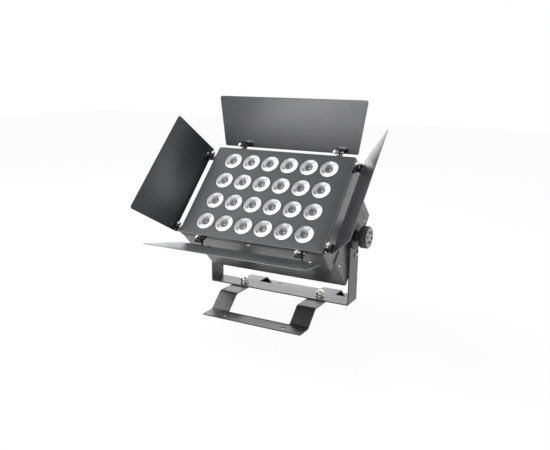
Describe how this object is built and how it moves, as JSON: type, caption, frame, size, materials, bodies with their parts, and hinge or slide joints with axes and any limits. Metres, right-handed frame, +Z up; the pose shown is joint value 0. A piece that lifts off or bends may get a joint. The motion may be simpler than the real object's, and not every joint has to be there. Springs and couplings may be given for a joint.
{
  "type": "led stage light",
  "caption": "Stage wash light: a tilting panel of lensed LEDs with hinged barn doors, held in a U-shaped yoke by clamp knobs and bolted to a low floor stand.",
  "frame": {"origin": "centre of the lower face of the yoke's crossbar, where a clamp seats when the light is hung", "axes": "+Z up, +X to the right when the lenses face the viewer, so the light leaves towards -Y and upwards"},
  "size_m": [0.5236, 0.4474, 0.499],
  "materials": {
    "black_paint": "semi-gloss black powder coat",
    "yoke_paint": "semi-gloss black powder coat",
    "black_plastic": "moulded, fine matt grain",
    "lens": "clear moulded optics with a bright reflector look",
    "circuit_board": "green solder mask",
    "display": "smoked clear window",
    "chrome": "bright plated",
    "steel": "zinc plated",
    "aluminium": "mill finish"
  },
  "bodies": {
    "base": {"floor_stand": "yoke_paint", "yoke": "yoke_paint", "stand_bolt_left": "chrome", "stand_bolt_right": "chrome", "stand_nut_left": "chrome", "stand_nut_right": "chrome", "friction_disc_left": "black_plastic", "friction_disc_right": "black_plastic"},
    "head": {"front_plate": "black_paint", "lens_row_1": "lens", "lens_row_2": "lens", "lens_row_3": "lens", "lens_row_4": "lens", "led_board": "circuit_board", "heat_sink": "aluminium", "front_casing": "black_paint", "casing_screw": "steel", "rear_casing": "black_paint", "rear_cover": "black_paint", "fan_frame": "black_plastic", "display_window": "display", "control_board": "circuit_board", "power_supply": "aluminium", "fuse_holder": "black_plastic", "dmx_in": "black_plastic", "dmx_out": "black_plastic", "power_in": "black_plastic", "power_out": "black_plastic", "pivot_stud_left": "steel", "pivot_stud_right": "steel", "pivot_washer_left": "black_plastic", "pivot_washer_right": "black_plastic", "hinge_bracket_top_1": "black_paint", "hinge_bolt_top_1": "chrome", "hinge_bracket_top_2": "black_paint", "hinge_bolt_top_2": "chrome", "hinge_bracket_bottom_1": "black_paint", "hinge_bolt_bottom_1": "chrome", "hinge_bracket_bottom_2": "black_paint", "hinge_bolt_bottom_2": "chrome", "hinge_bracket_left_1": "black_paint", "hinge_bolt_left_1": "chrome", "hinge_bracket_left_2": "black_paint", "hinge_bolt_left_2": "chrome", "hinge_bracket_right_1": "black_paint", "hinge_bolt_right_1": "chrome", "hinge_bracket_right_2": "black_paint", "hinge_bolt_right_2": "chrome"},
    "door_top": {"door_top": "black_paint"},
    "door_bottom": {"door_bottom": "black_paint"},
    "door_left": {"door_left": "black_paint"},
    "door_right": {"door_right": "black_paint"},
    "knob_left": {"clamp_knob_left": "black_plastic"},
    "knob_right": {"clamp_knob_right": "black_plastic"},
    "fan": {"fan_rotor": "black_plastic"},
    "button_1": {"button_1": "black_plastic"},
    "button_2": {"button_2": "black_plastic"},
    "button_3": {"button_3": "black_plastic"},
    "button_4": {"button_4": "black_plastic"}
  },
  "joints": [
    {"name": "head_tilt", "type": "hinge", "parent": "base", "child": "head", "pos_m": [0, 0, 0.1604], "axis": [1, 0, 0], "range_deg": [-90, 25]},
    {"name": "door_top_hinge", "type": "hinge", "parent": "head", "child": "door_top", "pos_m": [0, 0.01115, 0.34459], "axis": [1, 0, 0], "range_deg": [-43, 137]},
    {"name": "door_bottom_hinge", "type": "hinge", "parent": "head", "child": "door_bottom", "pos_m": [0, -0.17552, 0.15396], "axis": [-1, 0, 0], "range_deg": [-55.7, 124.3]},
    {"name": "door_left_hinge", "type": "hinge", "parent": "head", "child": "door_left", "pos_m": [-0.1884, -0.08218, 0.24928], "axis": [0, 0.6997, 0.7145], "range_deg": [-61.9, 118.1]},
    {"name": "door_right_hinge", "type": "hinge", "parent": "head", "child": "door_right", "pos_m": [0.1884, -0.08218, 0.24928], "axis": [0, -0.6997, -0.7145], "range_deg": [-54.3, 125.7]},
    {"name": "knob_left_turn", "type": "hinge", "parent": "head", "child": "knob_left", "pos_m": [-0.21, 0, 0.1604], "axis": [-1, 0, 0], "range_deg": [0, 720]},
    {"name": "knob_right_turn", "type": "hinge", "parent": "head", "child": "knob_right", "pos_m": [0.21, 0, 0.1604], "axis": [1, 0, 0], "range_deg": [0, 720]},
    {"name": "fan_spin", "type": "hinge", "parent": "head", "child": "fan", "pos_m": [-0.115, 0.0304, 0.12713], "axis": [0, 0.7145, -0.6997], "continuous": true},
    {"name": "button_1_press", "type": "slide", "parent": "head", "child": "button_1", "axis": [0, -0.7145, 0.6997], "range_m": [0, 0.0008], "stiffness_N_per_m": 1500, "springref_m": -0.0006},
    {"name": "button_2_press", "type": "slide", "parent": "head", "child": "button_2", "axis": [0, -0.7145, 0.6997], "range_m": [0, 0.0008], "stiffness_N_per_m": 1500, "springref_m": -0.0006},
    {"name": "button_3_press", "type": "slide", "parent": "head", "child": "button_3", "axis": [0, -0.7145, 0.6997], "range_m": [0, 0.0008], "stiffness_N_per_m": 1500, "springref_m": -0.0006},
    {"name": "button_4_press", "type": "slide", "parent": "head", "child": "button_4", "axis": [0, -0.7145, 0.6997], "range_m": [0, 0.0008], "stiffness_N_per_m": 1500, "springref_m": -0.0006}
  ]
}
